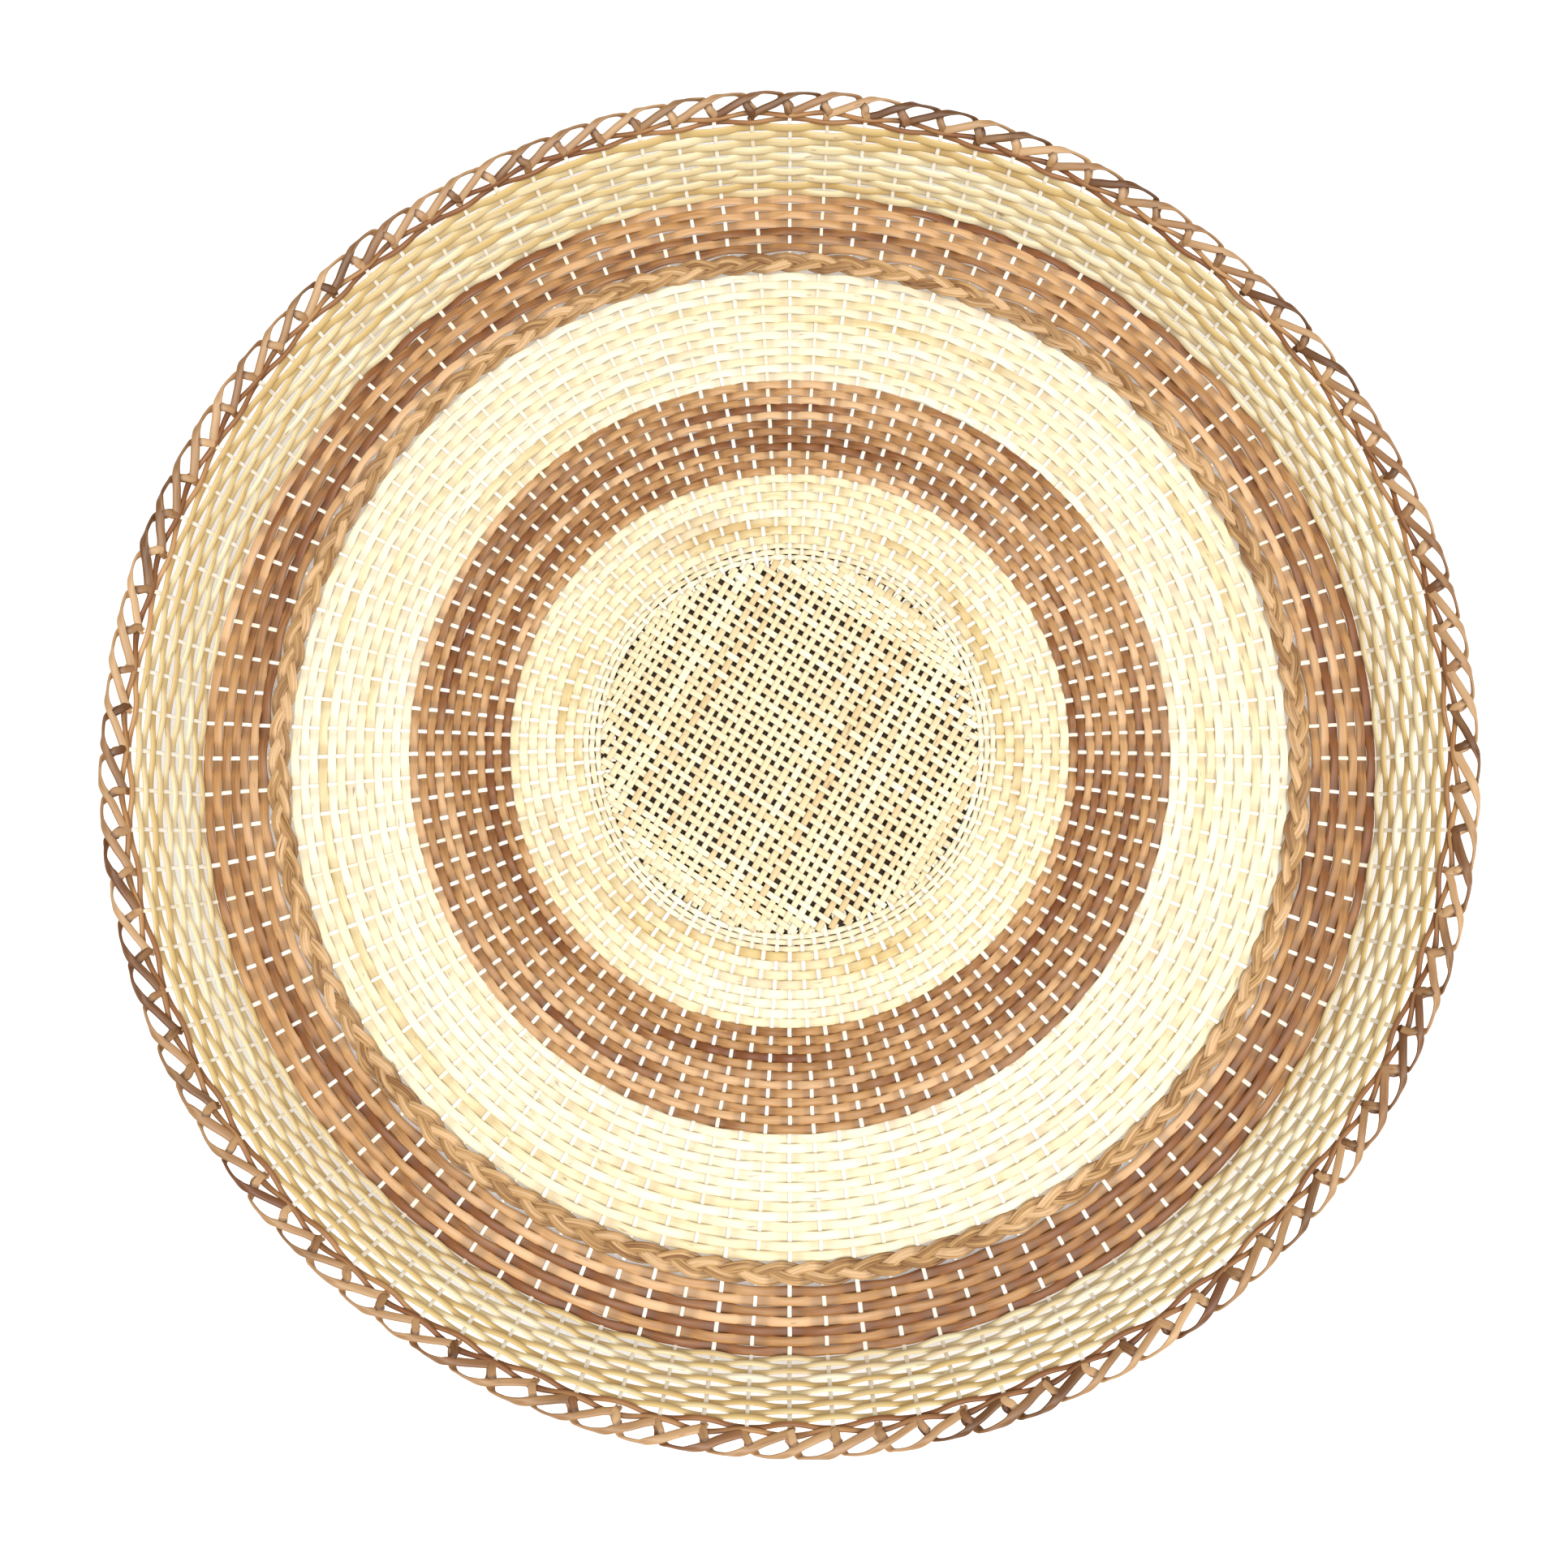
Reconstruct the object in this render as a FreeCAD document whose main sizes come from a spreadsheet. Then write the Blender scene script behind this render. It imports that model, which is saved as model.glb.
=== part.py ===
"""Winnowing basket: a round, shallow tray woven from rattan and peeled cane.

The frame has +Z up and its origin at the centre of the base, on the plane that the tray stands on.
Flat stakes radiate from a plaited mat, run nearly level to the knuckle and turn up into a low wall.
Weavers run round the stakes, each row on the other face from the row before it.
"""

import FreeCAD, Part
import math
import os
import Sketcher
from FreeCAD import Placement, Rotation, Vector

doc = FreeCAD.newDocument("winnowing_basket")

# ---------------------------------------------------------------- driving dimensions, in mm

SIZES = {
    # the line of the stakes' middle, from the mat to the rim: radius, and rise above the mat
    "mat_radius": 74.1,
    "fine_radius": 81.2,
    "inner_natural_radius": 110.0,
    "inner_brown_radius": 148.8,
    "inner_brown_rise": 2.3,
    "middle_natural_radius": 194.5,
    "middle_natural_rise": 4.0,
    "plait_radius": 203.4,
    "plait_rise": 4.6,
    "knuckle_radius": 227.2,
    "knuckle_rise": 6.5,
    "wall_radius": 240.1,
    "wall_rise": 36.8,
    "rim_radius": 248.7,
    "rim_rise": 41.6,
    # stakes
    "stake_count": 102,
    "stake_width": 1.6,
    "stake_thickness": 0.5,
    "stake_tuck": 6.0,
    # weavers
    "weaver_width": 2.9,
    "weaver_thickness": 2.0,
    "fine_width": 1.7,
    "fine_thickness": 1.2,
    "plait_width": 2.7,
    "plait_thickness": 2.2,
    "top_width": 2.4,
    "top_thickness": 2.0,
    # plaited mat
    "mat_pitch": 4.15,
    "mat_strip_width": 2.15,
    "mat_strip_thickness": 0.6,
    "mat_strip_count": 35,
    "falling_angle": -33.0,
    "rising_angle": 60.0,
    "backing_radius": 79.5,
    "backing_thickness": 0.7,
    # open border: places along the flare and round the rim, the latter in stake spacings
    "border_cane": 2.8,
    "border_offset": 1.7,
    "border_foot": 3.9,
    "border_shoulder": 8.6,
    "border_crown": 8.9,
    "border_end": 5.9,
    "border_lean": 1.25,
    "border_turn": 1.65,
    "border_reach": 2.1,
}

sheet = doc.addObject("Spreadsheet::Sheet", "sizes")
for line, (alias, number) in enumerate(SIZES.items(), start=1):
    sheet.set(f"A{line}", alias)
    sheet.set(f"B{line}", str(number))
    sheet.setAlias(f"B{line}", alias)
doc.recompute()


def size(alias):
    """The number that the sheet holds under this alias."""
    return float(sheet.get(alias))


def ref(alias):
    """The way an expression names this alias."""
    return f"<<sizes>>.{alias}"


parts = []


def add_part(thing, label, turn=0.0):
    """Give a sub-part its label and its place, turned about Z, and keep it for the export."""
    thing.Label = label
    thing.Placement = Placement(Vector(0, 0, 0), Rotation(Vector(0, 0, 1), turn))
    parts.append(thing)


def origin_feature(body, role):
    """One of the body's own origin planes or axes."""
    return next(item for item in body.Origin.OriginFeatures if item.Role == role)


# ---------------------------------------------------------------- weaver rows

LEVEL = "0"
MAT_EDGE = ("mat_radius", LEVEL)
FINE_EDGE = ("fine_radius", LEVEL)
INNER_NATURAL_EDGE = ("inner_natural_radius", LEVEL)
INNER_BROWN_EDGE = ("inner_brown_radius", "inner_brown_rise")
MIDDLE_NATURAL_EDGE = ("middle_natural_radius", "middle_natural_rise")
PLAIT_EDGE = ("plait_radius", "plait_rise")
KNUCKLE = ("knuckle_radius", "knuckle_rise")
WALL_TOP = ("wall_radius", "wall_rise")
RIM = ("rim_radius", "rim_rise")

# each band of weavers: its name, its rows, the number of its first row, and the edges that it
# lies between; the plait counts as row 33
WEAVER_BANDS = [
    ("inner_natural", 8, 0, FINE_EDGE, INNER_NATURAL_EDGE),
    ("inner_brown", 12, 8, INNER_NATURAL_EDGE, INNER_BROWN_EDGE),
    ("middle_natural", 13, 20, INNER_BROWN_EDGE, MIDDLE_NATURAL_EDGE),
    ("outer_brown", 7, 34, PLAIT_EDGE, KNUCKLE),
    ("wall_natural", 10, 41, KNUCKLE, WALL_TOP),
]
PLAIT_STRANDS = 3
FINE_ROWS = 3
FIRST_TOP_ROW = 51
TOP_SHARES = [0.12, 0.335]

# the stakes' middle stands this far above the base plane, so that the lowest weavers lie on it
STAKE_LEVEL = f"({ref('weaver_thickness')} + {ref('stake_thickness')} / 2)"


def oval_sketch(body, kind):
    """An oval section about the sketch's origin: an ellipse with its long axis level."""
    sketch = body.newObject("Sketcher::SketchObject", body.Name + "_section")
    sketch.AttachmentSupport = [(origin_feature(body, "XZ_Plane"), "")]
    sketch.MapMode = "FlatFace"
    width, thickness = f"{kind}_width", f"{kind}_thickness"
    side = Vector(size(width) / 2, 0, 0)
    top = Vector(0, size(thickness) / 2, 0)
    sketch.addGeometry(Part.Ellipse(side, top, Vector(0, 0, 0)), False)
    # this adds the two axes, as lines 1 and 2
    sketch.exposeInternalGeometry(0)
    sketch.addConstraint([
        Sketcher.Constraint("Coincident", 0, 3, -1, 1),
        Sketcher.Constraint("Horizontal", 1),
    ])
    for axis, alias in ((1, width), (2, thickness)):
        across = sketch.addConstraint(Sketcher.Constraint("Distance", axis, size(alias)))
        sketch.setExpression(f"Constraints[{across}]", ref(alias))
    return sketch


def weaver_ring(name, kind, start, end, share, side):
    """One turn of a weaver, as a ring of oval section.

    start and end are the two edges of its band, share is how far between them the row lies, and
    side is +1 for a row on the inner face of the stakes and -1 for a row on their outer face.
    """
    body = doc.addObject("PartDesign::Body", name)
    sketch = oval_sketch(body, kind)
    start_radius, end_radius = ref(start[0]), ref(end[0])
    start_rise, end_rise = [LEVEL if edge[1] == LEVEL else ref(edge[1]) for edge in (start, end)]
    radius = f"({start_radius} + {share} * ({end_radius} - {start_radius}))"
    height = f"({STAKE_LEVEL} + {start_rise} + {share} * ({end_rise} - {start_rise}))"
    tilt = f"atan2({end_rise} - {start_rise}; {end_radius} - {start_radius})"
    offset = f"{side} * ({ref(kind + '_thickness')} + {ref('stake_thickness')}) / 2"
    sketch.setExpression(".AttachmentOffset.Base.x", f"({radius} - {offset} * sin({tilt})) * 1 mm")
    sketch.setExpression(".AttachmentOffset.Base.y", f"({height} + {offset} * cos({tilt})) * 1 mm")
    sketch.setExpression(".AttachmentOffset.Rotation.Angle", tilt)
    turn = body.newObject("PartDesign::Revolution", name + "_turn")
    turn.Profile = sketch
    turn.ReferenceAxis = (origin_feature(body, "Z_Axis"), [""])
    turn.Angle = 360
    return body


for band, rows, first, start, end in WEAVER_BANDS:
    for index in range(rows):
        label = f"{band}_weaver_{index + 1}"
        side = 1 if (first + index) % 2 else -1
        add_part(weaver_ring(label, "weaver", start, end, (index + 0.5) / rows, side), label)

for index, share in enumerate(TOP_SHARES):
    label = f"top_brown_weaver_{index + 1}"
    side = 1 if (FIRST_TOP_ROW + index) % 2 else -1
    add_part(weaver_ring(label, "top", WALL_TOP, RIM, share, side), label)

plait_rings = []
for index in range(PLAIT_STRANDS):
    share = (index + 0.5) / PLAIT_STRANDS
    label = f"plait_ring_{index + 1}"
    plait_rings.append(weaver_ring(label, "plait", MIDDLE_NATURAL_EDGE, PLAIT_EDGE, share, 1))
plait_strands = doc.addObject("Part::Compound", "plait_strands")
plait_strands.Links = plait_rings
add_part(plait_strands, "plait_strands")

fine_rings = []
for index in range(FINE_ROWS):
    side = -1 if index % 2 else 1
    share = (index + 0.5) / FINE_ROWS
    fine_rings.append(weaver_ring(f"fine_ring_{index + 1}", "fine", MAT_EDGE, FINE_EDGE, share, side))
fine_rows = doc.addObject("Part::Compound", "fine_rows")
fine_rows.Links = fine_rings
add_part(fine_rows, "fine_rows")

# ---------------------------------------------------------------- plaited mat


def mat_layer(label, level, turn):
    """One layer of parallel flat strips, trimmed to the mat's round edge and turned to its direction."""
    strips = []
    for index in range(int(size("mat_strip_count"))):
        strip = doc.addObject("Part::Box", f"{label}_{index + 1}")
        middle = f"({index} - ({ref('mat_strip_count')} - 1) / 2) * {ref('mat_pitch')}"
        strip.setExpression("Length", f"2 * {ref('mat_radius')} * 1 mm")
        strip.setExpression("Width", f"{ref('mat_strip_width')} * 1 mm")
        strip.setExpression("Height", f"{ref('mat_strip_thickness')} * 1 mm")
        strip.setExpression(".Placement.Base.x", f"-{ref('mat_radius')} * 1 mm")
        strip.setExpression(".Placement.Base.y", f"({middle} - {ref('mat_strip_width')} / 2) * 1 mm")
        strip.setExpression(".Placement.Base.z", f"({level}) * 1 mm")
        strips.append(strip)
    layer = doc.addObject("Part::Compound", label + "_layer")
    layer.Links = strips
    disc = doc.addObject("Part::Cylinder", label + "_disc")
    disc.setExpression("Radius", f"{ref('mat_radius')} * 1 mm")
    disc.setExpression("Height", f"3 * {ref('mat_strip_thickness')} * 1 mm")
    disc.setExpression(".Placement.Base.z", f"({level} - {ref('mat_strip_thickness')}) * 1 mm")
    trimmed = doc.addObject("Part::Common", label)
    trimmed.Base = layer
    trimmed.Tool = disc
    add_part(trimmed, label, turn)


# the mat lies on the stakes' tucked ends
MAT_LEVEL = f"{STAKE_LEVEL} + {ref('stake_thickness')} / 2"
mat_layer("mat_strips_rising", MAT_LEVEL, size("rising_angle"))
mat_layer("mat_strips_falling", f"{MAT_LEVEL} + {ref('mat_strip_thickness')}", size("falling_angle"))

# a dark layer closes the base under the mat, below the stakes' tucked ends
backing = doc.addObject("Part::Cylinder", "mat_backing")
backing.setExpression("Radius", f"{ref('backing_radius')} * 1 mm")
backing.setExpression("Height", f"{ref('backing_thickness')} * 1 mm")
add_part(backing, "mat_backing")

# ---------------------------------------------------------------- stakes and border

stake_level = size("weaver_thickness") + size("stake_thickness") / 2
stake_pitch = 360 / size("stake_count")
flare = Vector(size("rim_radius") - size("wall_radius"), 0, size("rim_rise") - size("wall_rise"))
flare.normalize()
flare_normal = Vector(-flare.z, 0, flare.x)
wall_top = Vector(size("wall_radius"), 0, stake_level + size("wall_rise"))


def round_the_basket(solid):
    """One copy of a solid for each stake. The first stake is on +Y and the rest follow clockwise."""
    copies = []
    for index in range(int(size("stake_count"))):
        copy = solid.copy()
        copy.rotate(Vector(0, 0, 0), Vector(0, 0, 1), 90 - index * stake_pitch)
        copies.append(copy)
    return Part.makeCompound(copies)


def mitred_side(line, distance):
    """The line moved sideways by a distance, with its corners mitred."""
    ways = [(end - start).normalize() for start, end in zip(line, line[1:])]
    moved = []
    for point, before, after in zip(line, ways[:1] + ways, ways + ways[-1:]):
        mitre = Vector(-before.z - after.z, 0, before.x + after.x).normalize()
        spread = mitre.dot(Vector(-before.z, 0, before.x))
        moved.append(point + mitre * (distance / spread))
    return moved


def stake():
    """One flat stake along +X, from under the mat's edge over the knuckle to the border."""
    line = [Vector(size("mat_radius") - size("stake_tuck"), 0, stake_level)]
    for radius, rise in (INNER_NATURAL_EDGE, INNER_BROWN_EDGE, MIDDLE_NATURAL_EDGE, PLAIT_EDGE, KNUCKLE):
        line.append(Vector(size(radius), 0, stake_level + (0 if rise == LEVEL else size(rise))))
    line.append(wall_top)
    line.append(wall_top + flare * size("border_foot"))
    half = size("stake_thickness") / 2
    outline = mitred_side(line, half) + mitred_side(line, -half)[::-1]
    face = Part.Face(Part.makePolygon(outline + outline[:1]))
    face.translate(Vector(0, -size("stake_width") / 2, 0))
    return face.extrude(Vector(0, size("stake_width"), 0))


def border_point(spacings, along, above):
    """A point of the open border, in its own measures.

    spacings counts stake spacings clockwise from +X, along is the way up the flare from the wall's
    top, and above is the height over the flare's middle, positive on the inner face.
    """
    point = wall_top + flare * along + flare_normal * above
    return Rotation(Vector(0, 0, 1), -spacings * stake_pitch).multVec(point)


def border_strand():
    """One cane of the border: up the inner face, over the rim and back down the outer face."""
    cane, offset = size("border_cane") / 2, size("border_offset")
    path = [
        border_point(0, size("border_foot"), offset),
        border_point(size("border_lean"), size("border_shoulder"), offset),
        border_point(size("border_turn"), size("border_crown"), -offset),
        border_point(size("border_reach"), size("border_end"), -offset),
    ]
    runs = [
        Part.makeCylinder(cane, (end - start).Length, start, end - start)
        for start, end in zip(path, path[1:])
    ]
    knees = [Part.makeSphere(cane, knee) for knee in path[1:-1]]
    return runs[0].fuse(runs[1:] + knees).Solids[0]


for label, piece in (("stakes", stake), ("border_strands", border_strand)):
    feature = doc.addObject("Part::Feature", label)
    feature.Shape = round_the_basket(piece())
    add_part(feature, label)

# ---------------------------------------------------------------- check and export

doc.recompute()
for item in doc.Objects:
    if "Invalid" in item.State or "Error" in item.State:
        raise RuntimeError(f"{item.Label} did not compute: {item.State}")
for part in parts:
    if part.Shape.isNull() or not part.Shape.isValid() or not part.Shape.Solids:
        raise RuntimeError(f"{part.Label} has no valid solid")

os.makedirs("parts", exist_ok=True)
for part in parts:
    part.Shape.exportStep(f"parts/{part.Label}.step")
print(len(parts), "nodes,", sum(len(part.Shape.Solids) for part in parts), "solids")
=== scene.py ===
"""Winnowing basket: the woven pieces, their finishes and the stage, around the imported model."""
import math

import bpy
import numpy as np
from bpy.props import FloatProperty, FloatVectorProperty, IntProperty, PointerProperty
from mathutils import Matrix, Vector


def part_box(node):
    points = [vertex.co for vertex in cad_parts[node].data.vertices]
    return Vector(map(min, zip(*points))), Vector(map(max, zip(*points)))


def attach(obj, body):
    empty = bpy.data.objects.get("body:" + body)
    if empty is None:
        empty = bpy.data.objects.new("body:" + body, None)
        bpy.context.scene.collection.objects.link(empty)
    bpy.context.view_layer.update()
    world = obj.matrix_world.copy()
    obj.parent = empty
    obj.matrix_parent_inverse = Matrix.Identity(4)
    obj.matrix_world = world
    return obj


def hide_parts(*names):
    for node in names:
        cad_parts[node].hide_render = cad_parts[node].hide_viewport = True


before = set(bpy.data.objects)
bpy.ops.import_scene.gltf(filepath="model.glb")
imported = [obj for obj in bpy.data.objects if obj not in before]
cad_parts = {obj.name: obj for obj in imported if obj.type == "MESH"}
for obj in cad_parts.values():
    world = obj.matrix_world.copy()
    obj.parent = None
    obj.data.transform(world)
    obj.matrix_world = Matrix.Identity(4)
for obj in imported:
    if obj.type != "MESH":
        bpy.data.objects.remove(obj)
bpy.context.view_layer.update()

bl_info = {
    "name": "Winnowing Basket",
    "version": (1, 0, 0),
    "blender": (4, 5, 0),
    "location": "View3D > Sidebar > Basket",
    "description": "Weaves a round winnowing basket with an open border around its fitted model",
    "category": "Add Mesh",
}

MM = 0.001
STAKES = 102


def linear(code):
    """The linear colour of an sRGB hex code."""
    parts = [int(code[i:i + 2], 16) / 255 for i in (0, 2, 4)]
    return [c / 12.92 if c <= 0.04045 else ((c + 0.055) / 1.055) ** 2.4 for c in parts]


KNOT_BROWN = linear("7a4f2e")
CUT_END_BROWN = linear("4a2d18")


# ---------------------------------------------------------------- settings that a user would change


def length_setting(name, description, millimetres):
    """A length property, given in millimetres and kept in metres."""
    return FloatProperty(name=name, description=description, default=millimetres * MM,
                         min=0, unit="LENGTH", subtype="DISTANCE", precision=5)


def colour_setting(name, description, code):
    """A colour property, given as an sRGB hex code."""
    return FloatVectorProperty(name=name, description=description, default=linear(code),
                               min=0, max=1, size=3, subtype="COLOR")


class BasketSizes(bpy.types.PropertyGroup):
    """Sizes of the strands that the basket is woven from."""

    weaver_width: length_setting("Weaver width", "Width of a weaver in the model", 2.9)
    weaver_thickness: length_setting("Weaver thickness", "Thickness of a weaver", 2.0)
    top_width: length_setting("Top weaver width", "Width of the two weavers at the wall's top", 2.4)
    top_thickness: length_setting("Top weaver thickness", "Thickness of the two top weavers", 2.0)
    fine_width: length_setting("Fine weaver width", "Width of the white weavers by the mat", 2.25)
    fine_thickness: length_setting("Fine weaver thickness", "Thickness of the white weavers", 1.1)
    peel_width: length_setting("Peel width", "Width of a peel in a strand of the plait", 1.4)
    peel_thickness: length_setting("Peel thickness", "Thickness of a peel in the plait", 0.84)
    stake_width: length_setting("Stake width", "Width of a stake", 1.6)
    stake_thickness: length_setting("Stake thickness", "Thickness of a stake", 0.5)
    strip_width: length_setting("Mat strip width", "Width of a strip of the mat", 2.5)
    strip_pitch: length_setting("Mat strip spacing", "Distance between the mat's strips", 4.15)
    border_width: length_setting("Border cane width", "Width of a border cane", 2.9)
    border_thickness: length_setting("Border cane thickness", "Thickness of a border cane", 1.1)
    float_steps: IntProperty(name="Steps per float", default=10, min=4, max=16,
                             description="Mesh steps along a weaver from one stake to the next")


class BasketColours(bpy.types.PropertyGroup):
    """Colours of the basket's finishes."""

    natural_dark: colour_setting("Natural, dark", "Darkest natural weavers", "dcc083")
    natural_middle: colour_setting("Natural, middle", "Usual natural weavers", "f3e6bd")
    natural_light: colour_setting("Natural, light", "Lightest natural weavers", "fbf3d8")
    brown_dark: colour_setting("Brown, dark", "Darkest brown weavers", "85522a")
    brown_middle: colour_setting("Brown, middle", "Usual brown weavers", "bd8d58")
    brown_light: colour_setting("Brown, light", "Lightest brown weavers", "dfb587")
    brown_red: colour_setting("Brown, red stain", "Stretches that took more stain", "77401e")
    white_dark: colour_setting("White cane, dark", "Darkest peeled cane", "efe3c8")
    white_middle: colour_setting("White cane, middle", "Usual peeled cane", "f8f2e4")
    white_light: colour_setting("White cane, light", "Lightest peeled cane", "fdfaf2")
    cream_dark: colour_setting("Cream cane, dark", "Darkest strips of the falling layer", "e6d0a2")
    cream_middle: colour_setting("Cream cane, middle", "Usual strips of the falling layer", "f2e4c0")
    cream_light: colour_setting("Cream cane, light", "Lightest strips of the falling layer", "fbf4da")
    tan_dark: colour_setting("Tan cane, dark", "Darkest strips of the rising layer", "d9bb86")
    tan_middle: colour_setting("Tan cane, middle", "Usual strips of the rising layer", "eedcb0")
    tan_light: colour_setting("Tan cane, light", "Lightest strips of the rising layer", "f6ebca")
    plait_dark: colour_setting("Plait, dark", "Darkest fibres of the plait", "8a5f36")
    plait_middle: colour_setting("Plait, middle", "Usual fibres of the plait", "bd945f")
    plait_light: colour_setting("Plait, light", "Lightest fibres of the plait", "ddb688")
    border_dark: colour_setting("Border, dark", "Darkest border canes", "67411f")
    border_middle: colour_setting("Border, middle", "Usual border canes", "ab8257")
    border_light: colour_setting("Border, light", "Lightest border canes", "cda679")
    # the near-black splints under the mat are partly painted shade, seen through the mat's holes
    splint_dark: colour_setting("Dark splint", "The layer under the mat", "2a1b0f")
    splint_light: colour_setting("Dark splint, light", "Lighter fibres under the mat", "45301c")
    floor: colour_setting("Floor", "The paper that the basket stands on", "f6f5f3")


# ---------------------------------------------------------------- places read from the frame


def ring_places(nodes, width, thickness, sides, stake_thickness):
    """Radius, height and tilt of the stakes' middle at each ring, from the rings' own boxes."""
    boxes = [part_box(node) for node in nodes]
    heights = [(low.z + high.z) / 2 for low, high in boxes]
    alike = [i for i, side in enumerate(sides) if side == sides[0]]
    first, last = alike[0], alike[-1]
    if first == last:
        tall = (boxes[0][1].z - boxes[0][0].z) / 2
        share = (tall ** 2 - (thickness / 2) ** 2) / ((width / 2) ** 2 - (thickness / 2) ** 2)
        tilt = math.asin(math.sqrt(min(1.0, max(0.0, share))))
    else:
        tilt = math.atan2(heights[last] - heights[first], boxes[last][1].x - boxes[first][1].x)
    reach = math.hypot(width / 2 * math.cos(tilt), thickness / 2 * math.sin(tilt))
    offset = (thickness + stake_thickness) / 2
    places = []
    for (low, high), height, side in zip(boxes, heights, sides):
        radius = high.x - reach + side * offset * math.sin(tilt)
        places.append((radius, height - side * offset * math.cos(tilt), tilt))
    return places


PLAIT_ROW = 34
# the outermost brown row of the base took the most stain
LAST_OUTER_ROW = 41
# the share of its width that a wall row loses where the weave is loosest
WALL_OPENING = 0.28
# degrees round from +Y at which the weave starts to loosen, and over which it does
LOOSE_FROM, LOOSE_SPAN = 32, 35
BANDS = [
    # name, rows, first row's number, float and crossing width in row spacings, drawn thickness
    # and sway in mm, slot; the plait lies between rows 33 and 35
    ("inner_natural", 8, 1, 0.95, 1.01, 1.2, 0.0, "natural_rattan"),
    ("inner_brown", 12, 9, 0.93, 1.04, 1.3, 0.0, "brown_rattan"),
    ("middle_natural", 13, 21, 0.95, 1.01, 1.2, 0.0, "natural_rattan"),
    ("outer_brown", 7, 35, 0.94, 1.05, 1.3, 0.0, "brown_rattan"),
    ("wall_natural", 10, 42, 0.94, 0.99, 1.2, 0.0, "natural_rattan"),
    ("top_brown", 2, 52, 0.85, 0.82, 1.5, 0.75, "brown_rattan"),
]


def weave_plan(sizes):
    """Every weaver row from the centre outwards: its node, band, number, place and widths."""
    rows = []
    for band, count, number, float_share, crossing_share, drawn, sway, slot in BANDS:
        nodes = [f"{band}_weaver_{i + 1}" for i in range(count)]
        numbers = range(number, number + count)
        sides = [-1 if n % 2 else 1 for n in numbers]
        top = band == "top_brown"
        width = sizes.top_width if top else sizes.weaver_width
        thickness = sizes.top_thickness if top else sizes.weaver_thickness
        places = ring_places(nodes, width, thickness, sides, sizes.stake_thickness)
        start, end = places[0], places[-1]
        pitch = math.hypot(end[0] - start[0], end[1] - start[1]) / (count - 1)
        for node, n, place in zip(nodes, numbers, places):
            rows.append({"node": node, "band": band, "number": n, "place": place, "slot": slot,
                         "thickness": drawn * MM, "sway": sway * MM,
                         "float": float_share * pitch / 2, "crossing": crossing_share * pitch / 2})
    return rows


def plait_place(sizes):
    """Radius, height and tilt of the stakes' middle under the plait, between the rows beside it."""
    places = {row["number"]: row["place"] for row in weave_plan(sizes)}
    inner, outer = places[PLAIT_ROW - 1], places[PLAIT_ROW + 1]
    rise, run = outer[1] - inner[1], outer[0] - inner[0]
    return (inner[0] + outer[0]) / 2, (inner[1] + outer[1]) / 2, math.atan2(rise, run)


# how far a stake runs in from the edge of the dark layer, and on past the last row
STAKE_TUCK = 11 * MM
STAKE_TIP = 1.6 * MM


def stake_line(sizes):
    """Radius, height and row number along the stakes' middle, from under the mat to the border.

    The row number is 0 where no weaver crosses.
    """
    rows = weave_plan(sizes)
    level = rows[0]["place"][1]
    mat_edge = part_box("mat_backing")[1].x
    line = [(mat_edge - STAKE_TUCK, level, 0), (mat_edge - 3 * MM, level, 0)]
    crossings = [(*row["place"][:2], row["number"]) for row in rows]
    crossings.append((*plait_place(sizes)[:2], 0))
    line += sorted(crossings)
    radius, height, tilt = rows[-1]["place"]
    line.append((radius + STAKE_TIP * math.cos(tilt), height + STAKE_TIP * math.sin(tilt), 0))
    return np.array(line)


# ---------------------------------------------------------------- strands


def wander(rng, turn, slowest, quickest):
    """A smooth random value of about unit size round the basket, from waves that close on themselves."""
    waves = np.arange(slowest, quickest + 1)
    phases = rng.uniform(0, 2 * np.pi, len(waves))
    sizes = rng.normal(0, 1, len(waves)) * math.sqrt(2 / len(waves))
    return (sizes[:, None] * np.cos(waves[:, None] * turn[None, :] + phases[:, None])).sum(axis=0)


def smooth_step(share):
    """A smooth rise from 0 to 1 as share goes from 0 to 1."""
    share = np.clip(share, 0, 1)
    return share * share * (3 - 2 * share)


def unit(vectors):
    """The vectors, each with length one."""
    return vectors / np.linalg.norm(vectors, axis=-1, keepdims=True)


def strand_frames(path, up, closed):
    """Across and above directions of strands, square to their run; up leans towards above."""
    if closed:
        along = np.roll(path, -1, axis=1) - np.roll(path, 1, axis=1)
    else:
        along = np.gradient(path, axis=1)
    along = unit(along)
    across = unit(np.cross(up, along))
    return across, unit(np.cross(along, across))


def close_ends(path, across, above, half_width, half_height, extras):
    """Add a small bevel and a flat cut at both ends of open strands."""
    def extended(values, first, last):
        return np.concatenate([first, values, last], axis=1)

    bevel = 0.12 * half_height[:, [0, -1]]
    way_in = unit(path[:, :1] - path[:, 1:2]) * bevel[:, :1, None]
    way_out = unit(path[:, -1:] - path[:, -2:-1]) * bevel[:, -1:, None]
    start, end = path[:, :1] + way_in, path[:, -1:] + way_out
    path = extended(path, np.repeat(start, 2, axis=1), np.repeat(end, 2, axis=1))
    across = extended(across, np.repeat(across[:, :1], 2, axis=1), np.repeat(across[:, -1:], 2, axis=1))
    above = extended(above, np.repeat(above[:, :1], 2, axis=1), np.repeat(above[:, -1:], 2, axis=1))
    shrink = np.array([[0.08, 0.82]])
    sized = []
    for values in (half_width, half_height):
        sized.append(extended(values, values[:, :1] * shrink, values[:, -1:] * shrink[:, ::-1]))
    extras = [extended(e, np.repeat(e[:, :1], 2, axis=1), np.repeat(e[:, -1:], 2, axis=1)) for e in extras]
    return path, across, above, sized[0], sized[1], extras


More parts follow.
